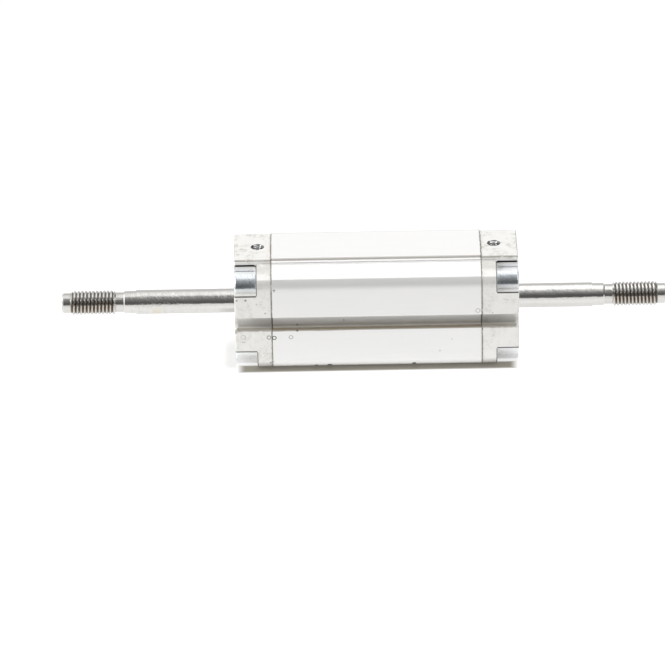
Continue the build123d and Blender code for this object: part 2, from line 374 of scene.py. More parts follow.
outline = body_outline(plateau_h)[0]
stations = [-seam_x, -seam_x + seam_edge]
stations += list(np.arange(-seam_x + 1.0, seam_x - 0.9, 1.0))
for nick in front_nicks:
    stations += [nick[0] + step for step in nick_steps]
stations += [seam_x - seam_edge, seam_x]
stations = sorted(set(round(float(s), 3) for s in stations))
barrel_shell = Shell()
rings = []
for x in stations:
    inset = seam_edge if abs(x) == seam_x else 0.0
    ring = grown(outline, -inset)
    for nick_x, nick_z, size, depth in front_nicks:
        gap = np.hypot(ring[:, 1] - nick_z, x - nick_x)
        dent = depth * np.exp(-(gap / (size / 2)) ** 2) * (ring[:, 0] < -slot_floor)
        ring = grown(ring, -dent)
    rings.append(barrel_shell.ring(across(ring, x)))
for a, b in zip(rings, rings[1:]):
    barrel_shell.band(a, b)
bore = [(-seam_x, bore_r + bore_lead), (-seam_x + bore_lead_len, bore_r), (0.0, bore_r)]
bore += [(seam_x - bore_lead_len, bore_r), (seam_x, bore_r + bore_lead)]
bore_rings = barrel_shell.turned(bore)
for side, end_ring, bore_ring in ((-1, rings[0], bore_rings[0]), (1, rings[-1], bore_rings[-1])):
    mouths = []
    for y, z in corners:
        mouth = barrel_shell.ring(circle(tapped_r, 32, side * seam_x, y, z))
        bottom = barrel_shell.ring(circle(tapped_r, 32, side * (seam_x - tapped_depth), y, z))
        barrel_shell.band(mouth, bottom)
        barrel_shell.faces.append(bottom)
        mouths.append(mouth)
    barrel_shell.fill(end_ring, bore_ring, *mouths)
barrel = barrel_shell.piece("barrel_extrusion")

anodised, place = new_finish("satin clear anodised extrusion")
x, y, z = place.parts()
up = z - axis_height
lines = place.stretched(0.012, 1.0, 1.0).noise(2.6, 3.0, 0.6)
broad = place.stretched(0.03, 0.25, 0.25).noise(1.0, 2.0)
cloud = place.noise(0.09, 4.0, 0.6)
grain = place.noise(5.0, 2.0)
patchy = place.stretched(0.25, 1.0, 1.0).noise(0.9, 4.0, 0.65).step(0.30, 0.62)
in_slot, lower_half, low_end, lip, worn_and_lit_line, skin_below, lip_round = slot_places(y, up, 3.36)
lip_front = lip * abs(y).step(half_side - 1.5, half_side - 0.7)
# Painted shade: the slot is painted darker towards its low end, darker on its lower lip and in patches, and
# kept light along a line on the lip as a painted highlight
slot_dirt_and_shade = in_slot * (0.13 * lower_half + 0.30 * low_end + 0.06 * patchy + 0.70 * lip + 0.1 * lip_front)
slot_dirt_and_shade = slot_dirt_and_shade * (1 - 0.8 * worn_and_lit_line)
at_seam = abs(x).step(seam_x - 0.45, seam_x - 0.15) * place.noise(0.8, 3.0).step(0.20, 0.52)
specks = place.noise(1.9, 1.0).step(0.79, 0.83) * cloud.step(0.45, 0.60)
crest_line = abs(y).step(11.6, 12.0) * z.step(crown_z - 0.9, crown_z - 0.65)
foot_line = z.step(shoulder_z + 0.25, shoulder_z + 0.1) * abs(y).step(13.5, 13.3)
dirt_and_shade = slot_dirt_and_shade + at_seam * 0.85 + specks * 0.4
dirt_and_shade = dirt_and_shade + 0.55 * crest_line + 0.10 * foot_line * patchy
dirt_and_shade = dirt_and_shade + skin_below * (0.25 + 0.55 * patchy) * x.step(-8.0, -20.0)
dirt_and_shade = dirt_and_shade.larger(0.72 * lip_round).smaller(1.0)

on_front = y.step(front_y, front_y - 1.0)
marks = in_slot * abs(x).step(seam_x - 0.5, seam_x - 0.2) * 0.9
for mark_x, mark_up, mark_r, strength in front_rings:
    away = distance(x - mark_x, up - mark_up)
    marks = marks + strength * on_front * ring_line(away, mark_r)
for mark_x, mark_up, mark_r, strength in front_spots:
    away = distance(x - mark_x, up - mark_up)
    marks = marks + strength * on_front * (away + 0.5 * patchy).step(mark_r + 0.3, mark_r - 0.2)

# Painted light: the raised flat's sides and top and the shoulders beside it are painted paler where the light
# falls, and the slots and the underside are painted paler against their shade and are matt
flank = abs(y).step(13.2, 12.9) * abs(y).step(12.35, 12.5)
flank = flank * z.step(shoulder_z + 0.2, shoulder_z + 0.4) * z.step(crown_z - 0.8, crown_z - 1.0)
crown = z.step(crown_z - 0.9, crown_z - 0.6)
shoulder = z.step(shoulder_z - 0.4, shoulder_z - 0.1) * z.step(shoulder_z + 0.3, shoulder_z + 0.1)
low_round = z.step(6.0, 3.6) * abs(y).step(14.0, 15.5)
matt = low_round.larger(in_slot)
tone = 0.985 + 0.03 * lines - 0.02 * broad
tone = tone * (1 + 0.16 * matt + 0.15 * flank + 0.14 * shoulder + 0.12 * crown)
clean = (barrel_shine * tone).mixed((0.0, 0.0, 0.0), (1.0, 0.995, 0.985))
# A brown tint towards the slot's low end: partly dirt, partly painted warm bounce light
slot_brown_tint = in_slot * up.step(-0.6, -2.8) * 0.20
clean = slot_brown_tint.mixed(clean, (0.62, 0.55, 0.42))
colour = dirt_and_shade.mixed(clean, (0.230, 0.195, 0.140))
colour = (0.8 * marks).mixed(colour, (0.060, 0.050, 0.036))
set_surface(
    anodised, Base_Color=colour, Metallic=0.38 - 0.36 * matt + 0.60 * flank, Specular_IOR_Level=0.3,
    Roughness=0.27 + 0.06 * cloud + 0.05 * lines + 0.25 * dirt_and_shade - 0.12 * flank,
    bump=lines + 0.35 * grain, bump_depth=0.004)
barrel.data.materials.append(anodised)
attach(barrel, "housing")
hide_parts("barrel")

# The two end caps: blocks milled from anodised aluminium, each with a threaded air port in its raised
# flat, cut corners for the screws' heads, the sensor slots carried on, and a round spigot that enters
# the bore. They are a little rougher than the barrel, and mottled with dirt.
end_x = 58.0
cap_plateau_h = 1.7
cap_edge = 0.5
edge_break = 0.22
slot_lead = 1.2
slot_lead_slope = math.tan(math.radians(30))
pocket_x = 49.1
notch_from_axis = 12.7
notch_corner_r = 1.1
head_pocket_r = 6.48
shank_hole_r = 3.25
spigot_r = 12.45
spigot_x = 39.2
ring_groove_r = 11.0
ring_groove_far = 3.1
ring_groove_near = 0.9
buffer_seat_r = 7.5
buffer_seat_depth = 2.0
rod_way_r = 5.3
bush_seat_r = 6.5
bush_from_end = 15.2
seal_seat_r = 8.0
seal_from_end = 5.2
seal_seat_edge = 0.3
seal_seat_flare = 0.5
port_x = 48.4
port_top = 24.2
port_minor_r = 2.08
port_major_r = 2.5
port_mouth_r = 2.75
port_depth = 6.5
port_pitch = 0.8
port_thread_step = 0.08
passage_r = 1.0
passage_place = 8.8
passage_lap = 0.5
relief_from = 0.25
relief_to = 1.05
relief_in = 1.2
relief_end = 0.5
relief_back = 0.05
lead_x = end_x - 1.1
cap_shine = 0.80

# How far the cutters reach past what they cut: a hair, a little, and well clear of it
hair = 0.2
reach = 1.0
beyond = 5.0

# Marks on the caps' fronts: place along X, height from the axis, radius and strength
cap_rings = [(-44.2, -6.1, 0.75, 0.75), (-54.7, -5.8, 0.9, 0.3)]
cap_spots = [(-54.7, -8.0, 0.3, 0.5), (-57.0, 10.9, 0.45, 0.7), (-53.4, 10.9, 0.5, 0.9),
             (-49.0, 9.0, 0.3, 0.6), (-45.5, 4.9, 0.35, 0.7), (-43.7, -18.2, 0.5, 0.8),
             (-43.6, -20.0, 0.4, 0.8), (47.2, 3.4, 0.3, 0.6)]

# Scratches: place along X, height from the axis, half length and slope
cap_scratches = [(-47.3, -18.4, 1.1, 0.30), (-54.4, -8.2, 0.8, 0.0), (52.5, 9.4, 1.0, -0.4)]


def thread_radius(x, angles, pitch, crest_r, root_r, crest_half=0.0625, root_from=0.44):
    """Radii round a right-hand thread at a place along it: crest_r on the crest and root_r in the groove.
    The crest's half width and where the groove's bottom starts are shares of the pitch."""
    turn = (x / pitch - angles / (2 * math.pi)) % 1.0
    from_crest = np.minimum(turn, 1.0 - turn)
    down = np.clip((from_crest - crest_half) / (root_from - crest_half), 0.0, 1.0)
    return crest_r + (root_r - crest_r) * down


def carved(piece, cutters, operation="DIFFERENCE"):
    """Take each cutter from a piece, or add it, and throw the cutters away."""
    for cutter in cutters:
        change = piece.modifiers.new("change", "BOOLEAN")
        change.operation = operation
        change.solver = "EXACT"
        change.material_mode = "TRANSFER"
        change.object = cutter
    settle(piece)
    for cutter in cutters:
        bpy.data.objects.remove(cutter)


def settle(piece):
    """Make a piece's modifiers part of its mesh."""
    graph = bpy.context.evaluated_depsgraph_get()
    mesh = bpy.data.meshes.new_from_object(piece.evaluated_get(graph))
    piece.modifiers.clear()
    piece.data = mesh


def round_bar(shell, radius, start, end, y, z, segments):
    """A closed round bar along X."""
    near_end = shell.ring(circle(radius, segments, start, y, z))
    far_end = shell.ring(circle(radius, segments, end, y, z))
    shell.band(near_end, far_end)
    shell.faces += [near_end, far_end]


def prism(shell, line, side, low, high):
    """A closed block over a line of points in X and Y, on one side of the body, between two heights."""
    bottom = shell.ring([(px, side * py, low) for px, py in line])
    top = shell.ring([(px, side * py, high) for px, py in line])
    shell.band(bottom, top)
    shell.faces += [bottom, top]


def stood_up(points, x):
    """Points of a piece along X, turned to stand on end at a place along the body."""
    return [(x - py, pz, px) for px, py, pz in points]


def end_cap_piece(name):
    """The cap of the +X end, carved from its extruded outline."""
    cap_ring, slot_points = body_outline(cap_plateau_h, 2.0)
    block = Shell()
    steps = [(seam_x, -seam_edge, -seam_edge), (seam_x + seam_edge, 0.0, 0.0), (end_x - slot_lead, 0.0, 0.0),
             (end_x - cap_edge, 0.0, -(slot_lead - cap_edge) * slot_lead_slope),
             (end_x, -cap_edge, -slot_lead * slot_lead_slope)]
    skin = []
    for x, plain, slot in steps:
        moved = np.where(slot_points > 0, slot, plain)
        skin.append(block.ring(across(grown(cap_ring, moved), x)))
    for a, b in zip(skin, skin[1:]):
        block.band(a, b)
    block.fill(skin[0])
    block.fill(skin[-1])
    cap = block.piece(name)
    cap.data.materials.append(cap_metal)
    cap.data.materials.append(bright_cut)

    far = half_side + 2 * beyond
    rounded = []
    for a in np.linspace(0, math.pi / 2, 7):
        rounded.append((pocket_x + notch_corner_r * (1 - math.cos(a)),
                        notch_from_axis + notch_corner_r * (1 - math.sin(a))))
    notch_line = [(end_x + beyond, far), (pocket_x, far)] + rounded + [(end_x + beyond, notch_from_axis)]
    relief_start = pocket_x - relief_back
    relief_side = notch_from_axis - relief_in
    relief_line = [(end_x - relief_end, far), (relief_start, far), (relief_start, relief_side),
                   (end_x - relief_end, relief_side)]
    notch = Shell()
    relief = Shell()
    pockets = Shell()
    for y, z in corners:
        ys, zs = math.copysign(1, y), math.copysign(1, z)
        prism(notch, notch_line, ys, zs * notch_from_axis, zs * far)
        if z > 0:
            prism(relief, relief_line, ys, half_side - relief_from, half_side - relief_to)
        round_bar(pockets, head_pocket_r, pocket_x, end_x + beyond, y, z, 96)
    cutters = [notch.piece("notches"), pockets.piece("pockets")]
    for cutter in cutters:
        cutter.data.materials.append(cap_metal)
    carved(cap, cutters)
    shade(cap, weld=0.005)
    soften = cap.modifiers.new("soften", "BEVEL")
    soften.width = edge_break * mm
    soften.segments = 2
    soften.limit_method = "ANGLE"
    soften.angle_limit = math.radians(40)
    settle(cap)
    # The groove along the top of each upper notch's wall takes the near-black painted shade
    groove = relief.piece("relief")
    groove.data.materials.append(black_shade_fill)
    carved(cap, [groove])

    spigot = Shell()
    spigot.turned([(spigot_x, 0.0), (spigot_x, spigot_r), (seam_x - ring_groove_far, spigot_r),
                   (seam_x - ring_groove_far, ring_groove_r), (seam_x - ring_groove_near, ring_groove_r),
                   (seam_x - ring_groove_near, spigot_r), (seam_x + reach, spigot_r), (seam_x + reach, 0.0)])
    carved(cap, [spigot.piece("spigot")], "UNION")
    way = Shell()
    way.turned([(spigot_x - reach, 0.0), (spigot_x - reach, buffer_seat_r),
                (spigot_x + buffer_seat_depth, buffer_seat_r), (spigot_x + buffer_seat_depth, rod_way_r),
                (end_x - bush_from_end, rod_way_r), (end_x - bush_from_end, bush_seat_r),
                (end_x - seal_from_end, bush_seat_r), (end_x - seal_from_end, seal_seat_r),
                (end_x - seal_seat_edge, seal_seat_r), (end_x + hair, seal_seat_r + seal_seat_flare),
                (end_x + hair, 0.0)])
    holes = Shell()
    for y, z in corners:
        round_bar(holes, shank_hole_r, seam_x - 2 * reach, pocket_x + hair, y, z, 48)
    along = Shell()
    round_bar(along, passage_r, spigot_x - reach, port_x + passage_r, 0.0, passage_place, 24)
    drop = Shell()
    port_bottom = port_top - port_depth
    round_bar(drop, passage_r, passage_place, port_bottom + passage_lap, 0.0, 0.0, 24)
    drop.points = stood_up(drop.points, port_x)
    port = Shell()
    around = angles_round(48)
    profile = [(port_bottom, 0.0)]
    for height in np.arange(port_bottom, port_top - 0.1, port_thread_step):
        thread = thread_radius(height, around, port_pitch, port_minor_r, port_major_r)
        mouth = port_mouth_r - (port_top - height)
        profile.append((height, np.maximum(thread, mouth)))
    profile += [(port_top, port_mouth_r), (port_top + reach, port_mouth_r + reach), (port_top + reach, 0.0)]
    port.turned(profile, 48)
    port.points = stood_up(port.points, port_x)
    cutters = [way.piece("way"), holes.piece("holes"), along.piece("along"), drop.piece("drop")]
    cutters.append(port.piece("port"))
    for cutter in cutters:
        cutter.data.materials.append(bright_cut)
    carved(cap, cutters)
    shade(cap, 30.0, weld=0.002)
    even = cap.modifiers.new("even", "WEIGHTED_NORMAL")
    even.keep_sharp = True
    settle(cap)
    return cap


cap_metal, place = new_finish("milled and anodised cap")
x, y, z = place.parts()
up = z - axis_height
mottle = place.noise(0.16, 5.0, 0.62, 0.4)
blotch = place.noise(0.55, 4.0, 0.65)
fine = place.noise(3.2, 3.0, 0.6)
specks = place.noise(2.1, 2.0).step(0.66, 0.72) * mottle.step(0.42, 0.58)
on_top = z.step(42.0, 45.0)
# Painted highlight: the top's tone is painted paler, where the overhead light falls
tone = (0.95 + 0.08 * blotch - 0.06 * mottle + 0.05 * fine) * (1.03 + 0.09 * on_top)
clean = (cap_shine * tone).mixed((0.0, 0.0, 0.0), (1.0, 0.990, 0.963))
stain = mottle.step(0.44, 0.62) * blotch.step(0.40, 0.66)
aged_and_lit = (stain * (0.34 + 0.36 * on_top)).mixed(clean, (0.50, 0.47, 0.39))

in_slot, lower_half, low_end, lip, worn_and_lit_line, skin_below, lip_round = slot_places(y, up, 3.20)
at_lead = in_slot * abs(x).step(lead_x - 0.4, lead_x) * x.step(0.0, -1.0)
below_lip = abs(x).step(lead_x - 0.3, lead_x) * up.step(-2.62, -2.80)
# Painted shade: the slot is painted darker towards its low end, darker on its lower lip, in patches and at
# the left lead-in, and kept light along a line on the lip as a painted highlight
slot_dirt_and_shade = 0.02 + 0.14 * lower_half + 0.20 * low_end + 0.08 * blotch + 0.50 * lip + 0.25 * at_lead
slot_dirt_and_shade = in_slot * slot_dirt_and_shade * (1 - 0.8 * worn_and_lit_line)
slot_dirt_and_shade = slot_dirt_and_shade * (1 - below_lip * x.step(0.0, 1.0)) * (1 - 0.5 * below_lip)
at_seam = abs(x).step(seam_x + 0.6, seam_x + 0.1) * place.noise(0.7, 3.0).step(0.25, 0.55)
foot_stain = z.step(42.6, 43.8) * z.step(46.0, 45.2) * abs(y).step(12.4, 12.7)
foot_stain = foot_stain * mottle.step(0.15, 0.45)
crest_line = abs(y).step(11.7, 12.1) * abs(y).step(12.8, 12.6) * z.step(46.0, 46.25)
crest_line = crest_line * blotch.step(0.20, 0.50)
end_line = abs(x).step(end_x - 0.55, end_x - 0.3) * z.step(46.3, 46.5) * blotch.step(0.30, 0.60)
dirt_and_shade = slot_dirt_and_shade.larger(skin_below * blotch.step(0.30, 0.60) * 0.6)
dirt_and_shade = dirt_and_shade.larger(lip_round * abs(x).step(lead_x, lead_x - 0.3) * 0.6)
for layer in (0.7 * at_seam, 0.30 * foot_stain, 0.60 * crest_line, 0.5 * end_line, 0.6 * specks):
    dirt_and_shade = dirt_and_shade.larger(layer)

# Painted shadow: thin near-black lines on the front along each notch's edge and beside its end wall, where
# the shadow gap under the edge falls
outside = abs(y).step(half_side - 0.6, half_side - 0.2)
from_notch = abs(abs(up) - notch_from_axis + 0.20)
notch_edge_shadow = outside * abs(x).step(pocket_x - 0.2, pocket_x + 0.1) * from_notch.step(0.36, 0.18)
notch_side_shadow = abs(x).step(pocket_x - 0.42, pocket_x - 0.32) * abs(x).step(pocket_x - 0.02, pocket_x - 0.06)
notch_side_shadow = notch_side_shadow * abs(y).step(notch_from_axis + 0.1, notch_from_axis + 0.7)
notch_side_shadow = notch_side_shadow * abs(up).step(notch_from_axis - 0.1, notch_from_axis + 0.2)
on_front = y.step(front_y, front_y - 1.0)
marks = (0.95 * notch_edge_shadow).larger(0.85 * notch_side_shadow)
for mark_x, mark_up, mark_r, strength in cap_rings:
    away = distance(x - mark_x, up - mark_up)
    marks = marks.larger(strength * on_front * ring_line(away, mark_r))
for mark_x, mark_up, mark_r, strength in cap_spots:
    away = distance(x - mark_x, up - mark_up)
    spot = on_front * (away + 0.8 * fine).step(mark_r + 0.6, mark_r + 0.1)
    marks = marks.larger(0.8 * strength * spot)
for scratch_x, scratch_up, length, slope in cap_scratches:
    along = x - scratch_x
    off = abs(up - scratch_up - slope * along)
    mark = on_front * abs(along).step(length + 0.2, length - 0.2) * off.step(0.16, 0.04)
    marks = marks.larger(0.4 * mark)

# The notches' inner sides are painted paler, as painted light against their shade, and are as matt as the
# slots
in_notch = abs(abs(y) - notch_from_axis).step(0.18, 0.06) * abs(x).step(pocket_x - 0.2, pocket_x)
in_notch = in_notch * abs(up).step(notch_from_axis, notch_from_axis + 0.2)
aged_and_lit = in_notch.mixed(aged_and_lit, (0.97, 0.975, 0.985))
matt = in_notch.larger(in_slot)
colour = dirt_and_shade.mixed(aged_and_lit, (0.200, 0.175, 0.125))
# Marks, and the painted shadow lines along the notches, are painted near black
colour = marks.mixed(colour, (0.050, 0.043, 0.033))
set_surface(
    cap_metal, Base_Color=colour, Metallic=0.38 - 0.38 * matt, Specular_IOR_Level=0.3,
    Roughness=0.32 + 0.12 * mottle + 0.08 * fine + 0.15 * dirt_and_shade,
    bump=0.5 * fine + 0.5 * blotch - 0.3 * specks, bump_depth=0.03)

bright_cut, place = new_finish("bright milled aluminium")
x, y, z = place.parts()
swirl = place.stretched(1.0, 1.0, 0.3).noise(2.5, 3.0, 0.6)
film = place.noise(0.8, 4.0, 0.6)
colour = film.step(0.45, 0.75).mixed((0.82, 0.83, 0.84), (0.66, 0.65, 0.62))
# Painted shade in the air port: its sides and a ring at its mouth are painted near black, leaving a light
# strip down the middle
from_port = distance(abs(x) - port_x, y)
hole_bottom = axis_height + port_top - port_depth
in_port = z.step(hole_bottom - 0.3, hole_bottom) * from_port.step(3.1, 3.0)
aside = (abs(abs(x) - port_x) / from_port).step(0.30, 0.75)
mouth_line = from_port.step(2.40, 2.50)
port_painted_shade = in_port * aside.larger(0.75 * mouth_line)
colour = (0.85 * port_painted_shade).mixed(colour, (0.10, 0.098, 0.095))
set_surface(
    bright_cut, Base_Color=colour, Metallic=1.0, Roughness=0.10 + 0.12 * film, bump=swirl + 0.5 * film,
    bump_depth=0.012)

# Painted shade: a near-black finish on the faces of the groove along the top of each upper notch's wall,
# where its shadow gap falls
black_shade_fill, place = new_finish("black painted shade")
film = place.noise(1.5, 4.0, 0.6)
colour = film.mixed((0.020, 0.019, 0.018), (0.075, 0.070, 0.060))
set_surface(black_shade_fill, Base_Color=colour, Roughness=0.6 + 0.2 * film, bump=film, bump_depth=0.05)

right_cap = end_cap_piece("right_end_cap")
left_cap = right_cap.copy()
left_cap.data = right_cap.data.copy()
left_cap.name = "left_end_cap"
bpy.context.scene.collection.objects.link(left_cap)
left_cap.data.transform(Matrix.Rotation(math.pi, 4, "Z"))
for cap, node in ((left_cap, "left_cap"), (right_cap, "right_cap")):
    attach(cap, "housing")
    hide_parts(node)

# The cap screws: eight collar screws turned from steel and plated with bright bluish zinc. Each head
# has a threaded hole for mounting the cylinder, with a hexagon at its bottom for the key.
head_r = 6.4
head_edge = 0.6
head_crest = 0.12
head_back_edge = 0.15
shank_r = 3.0
shank_tip = 0.7
shank_end_x = seam_x - 12.0
shank_pitch = 1.0
shank_thread_depth = 0.55
shank_thread_len = 11.0
shank_clear = 0.05
face_minor_r = 2.1
face_major_r = 2.5
face_mouth_r = 2.7
face_mouth_edge = 0.05
face_pitch = 0.8
face_depth = 8.0
key_half = 1.5
key_lead = 0.3
key_lead_r = 1.75
key_depth = 3.0
shank_thread_step = 0.125
face_thread_step = 0.08

zinc, place = new_finish("bright bluish zinc plate")
x, y, z = place.parts()
up = z - axis_height
turning = place.stretched(1.0, 0.06, 0.06).noise(3.5, 3.0, 0.6)
rubbed = place.stretched(2.0, 0.5, 0.5).noise(1.0, 4.0, 0.7)
haze = place.noise(0.7, 4.0, 0.6)
wear = place.noise(1.8, 3.0, 0.6).step(0.60, 0.70)
colour = haze.mixed((0.56, 0.605, 0.66), (0.74, 0.78, 0.81)).darkened(0.94 + 0.12 * turning)
colour = (wear * 0.3).mixed(colour, (0.42, 0.43, 0.44))

# Painted highlight, near white and less metallic, on the heads' outer sides: above and below the middle of
# the upper ones, all over the lower ones, where they reflect bright light
share = (abs(up) - screw_place) / head_r * up.step(-0.1, 0.1) + 0.12 * rubbed - 0.06
painted_highlight = share.step(0.88, 0.96).larger(share.step(0.30, 0.16)) * abs(y).step(screw_place, screw_place + 0.5)
painted_highlight = (0.85 * painted_highlight).larger(0.9 * up.step(0.1, -0.1))
from_centre = distance(abs(y) - screw_place, abs(up) - screw_place)
painted_highlight = painted_highlight * from_centre.step(head_r - 0.5, head_r - 0.2)
colour = painted_highlight.mixed(colour, (0.96, 0.975, 0.98))
set_surface(
    zinc, Base_Color=colour, Metallic=1.0 - 0.85 * painted_highlight,
    Roughness=0.13 + 0.12 * haze + 0.10 * wear + 0.25 * painted_highlight,
    bump=0.5 * turning + 0.3 * haze + 3.0 * rubbed, bump_depth=0.035)

screw_segments = 72
around = angles_round(screw_segments)
hexagon = key_half / np.cos((around + math.pi / 6) % (math.pi / 3) - math.pi / 6)
hole_x = end_x - face_depth
thread_end = shank_end_x + shank_thread_len
plain_r = shank_r - shank_clear
profile = [(shank_end_x, 0.0), (shank_end_x, shank_r - shank_tip), (shank_end_x + shank_tip, shank_r)]
for x in np.arange(shank_end_x + shank_tip, thread_end, shank_thread_step):
    fade = min(1.0, (x - shank_end_x - shank_tip) / 0.5, thread_end - x)
    thread = thread_radius(x, around, shank_pitch, shank_r, shank_r - shank_thread_depth)
    profile.append((x, shank_r - fade * (shank_r - thread)))
profile += [(thread_end + 0.2, plain_r), (pocket_x, plain_r), (pocket_x, head_r - head_back_edge)]
profile += [(pocket_x + head_back_edge, head_r), (pocket_x + 0.25, head_r), (end_x - head_edge - 0.1, head_r)]
profile += [(end_x - head_edge, head_r), (end_x - head_edge * 0.6, head_r - head_crest)]
profile += [(end_x - head_crest, head_r - head_edge * 0.6), (end_x, head_r - head_edge)]
profile += [(end_x, face_mouth_r + face_mouth_edge), (end_x - face_mouth_edge, face_mouth_r)]
for x in np.arange(end_x - 0.1, hole_x, -face_thread_step):
    thread = thread_radius(x, around, face_pitch, face_minor_r, face_major_r)
    profile.append((x, np.maximum(thread, face_mouth_r - (end_x - x))))
profile += [(hole_x, face_minor_r), (hole_x - 0.25, np.maximum(hexagon, key_lead_r))]
profile += [(hole_x - key_lead, hexagon), (hole_x - key_depth, hexagon), (hole_x - key_depth, 0.0)]
for side, word in ((-1, "left"), (1, "right")):
    for number, (y, z) in enumerate(corners):
        spin = random.Random(f"{word} screw {number}").uniform(0, 2 * math.pi)
        screw = Shell()
        screw.turned(profile, screw_segments)
        spun = Matrix.Rotation(spin, 4, "X")
        turned_round = Matrix.Rotation(math.pi if side < 0 else 0.0, 4, "Z")
        moved = [spun @ Vector(p) for p in screw.points]
        screw.points = [tuple(turned_round @ (p + Vector((0, y, z)))) for p in moved]
        piece = screw.piece(f"{word}_cap_screw_{number + 1}")
        piece.data.materials.append(zinc)
        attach(piece, "housing")
        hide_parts(f"{word}_cap_screws")

# The two piston rods: stainless steel bars, ground and polished, with a rolled thread, an undercut and
# a dog point at the outer end. The stud of one screws into the other through the piston. Old oil has
# left brown stain in the threads.
rest_place = -5.0
rod_r = 5.0
rod_edge = 0.2
shoulder_x = 93.75
collar_r = 4.65
collar_edge = 0.4
collar_edge_len = 0.5
collar_x = 98.85
undercut_r = 4.15
undercut_edge = 0.1
undercut_x = 102.75
thread_x = 120.55
thread_pitch = 1.5
thread_depth = 0.92
thread_crest_half = 0.23
thread_end_slope = 1.1
run_out = 0.8
dog_r = 4.15
dog_edge = 0.7
tip_x = 124.35
centre_hole = [(0.0, 1.2), (0.8, 0.55), (1.4, 0.0)]
piston_half_len = 8.5
stud_r = 3.0
stud_edge = 0.7
stud_end = -17.5
stud_hole_r = 3.05
stud_hole_x = 18.5
stud_hole_tip = 0.8
rod_thread_step = 0.1
beige_x = -90.2

steel, place = new_finish("ground and polished stainless steel")
x, y, z = place.parts()
up = z - axis_height
radius = distance(y, up)
from_middle = abs(x - rest_place)
rings_fine = place.stretched(1.0, 0.03, 0.03).noise(2.2, 4.0, 0.7)
rings_wide = place.stretched(0.35, 0.02, 0.02).noise(1.0, 2.0)
haze = place.noise(0.25, 4.0, 0.6)
wavy = place.stretched(0.22, 0.32, 0.32).noise(1.0, 3.0, 0.6)
turned_end = from_middle.step(collar_x - 0.25, collar_x + 0.05)
slant = x.node("ShaderNodeCombineXYZ", {}, {0: x * 0.9 + z * 1.2, 1: y * 0.3, 2: (x * 1.2 - z * 0.9) * 0.25})
scratch = slant.noise(1.1, 5.0, 0.75).step(0.46, 0.62)
worn = scratch * (0.25 + 0.75 * x.step(-62.0, -84.0)) * abs(from_middle - 60).step(39.0, 36.0)
colour = (0.92 + 0.10 * rings_fine - 0.04 * haze).mixed((0.0, 0.0, 0.0), (0.690, 0.680, 0.660))
colour = (turned_end * 0.30).mixed(colour, (0.50, 0.485, 0.46))
colour = (worn * 0.30).mixed(colour, (0.50, 0.48, 0.45))

# A beige patch on one rod, amber on the thread's front, shade along the underside, and stain in the grooves
beige = abs(x - beige_x).step(2.3, 1.2) * up.step(0.5, -1.5)
colour = (0.45 * beige).mixed(colour, (0.66, 0.57, 0.44))
on_thread = from_middle.step(undercut_x - 0.15, undercut_x + 0.15)
on_thread = on_thread * from_middle.step(thread_x + 0.25, thread_x - 0.05)
amber = on_thread * abs(up - 0.3).step(2.8, 1.6)
colour = (0.45 * amber).mixed(colour, (0.36, 0.27, 0.19))
under_line = up.step(-3.35, -3.60) * y.step(0.5, -0.5)
under_line = under_line * from_middle.step(shoulder_x + 0.75, shoulder_x - 0.25)
colour = (0.32 * under_line).mixed(colour, (0.16, 0.16, 0.15))
in_groove = on_thread * radius.step(4.90, 4.45) * (1 - 0.30 * abs(up - 0.3).step(2.0, 3.2))
stain = place.noise(0.8, 4.0, 0.65)
brown = (in_groove * (0.55 + 0.45 * stain)).smaller(1.0)
colour = (brown * 0.85).mixed(colour, (0.105, 0.078, 0.055))
set_surface(
    steel, Base_Color=colour, Metallic=1.0 - 0.3 * brown,
    Roughness=0.06 + 0.04 * haze + 0.22 * worn + 0.08 * turned_end + 0.25 * brown,
    bump=rings_fine + 0.5 * rings_wide + 15.0 * wavy - 0.5 * worn, bump_depth=0.008)

rod_segments = 128
around = angles_round(rod_segments)
for side, word in ((-1, "left"), (1, "right")):
    if side > 0:
        profile = [(stud_end, 0.0), (stud_end, stud_r - stud_edge), (stud_end + stud_edge, stud_r)]
        profile += [(piston_half_len, stud_r)]
    else:
        profile = [(stud_hole_x, 0.0), (stud_hole_x - stud_hole_tip, stud_hole_r)]
        profile += [(piston_half_len, stud_hole_r)]
    profile += [(piston_half_len, rod_r - rod_edge), (piston_half_len + rod_edge, rod_r), (shoulder_x, rod_r)]
    profile += [(shoulder_x, collar_r), (collar_x - collar_edge_len, collar_r)]
    profile += [(collar_x, collar_r - collar_edge), (collar_x, undercut_r + undercut_edge)]
    profile += [(collar_x + undercut_edge, undercut_r), (undercut_x - run_out - undercut_edge, undercut_r)]
    for x in np.arange(undercut_x - run_out, thread_x + 0.01, rod_thread_step):
        root_r = rod_r - thread_depth
        thread = thread_radius(side * x, around * side, thread_pitch, rod_r, root_r, thread_crest_half)
        from_ends = min(x - undercut_x + run_out, thread_x - x)
        profile.append((x, np.minimum(thread, undercut_r + 0.05 + from_ends * thread_end_slope)))
    profile += [(thread_x + 0.05, dog_r + 0.05), (thread_x + 0.15, dog_r), (tip_x - dog_edge, dog_r)]
    profile += [(tip_x - 0.06, dog_r - dog_edge + 0.02), (tip_x, dog_r - dog_edge - 0.08)]
    profile += [(tip_x - depth, hole_r) for depth, hole_r in centre_hole]
    rod = Shell()
    rod.turned(profile, rod_segments)
    rod.points = [(side * px + rest_place, py, pz) for px, py, pz in rod.points]
    piece = rod.piece(f"{word}_rod", 24.0)
    piece.data.materials.append(steel)
    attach(piece, "piston_and_rods")
    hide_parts(f"{word}_piston_rod")

# The rod bushes: plain bearings that the rods run in, sintered from bronze powder and soaked in oil, and
# pressed into the caps.


def refinish(node, material):
    """Give a solid that stays as the CAD made it a finish of its own."""
    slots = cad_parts[node].data.materials
    slots.clear()
    slots.append(material)


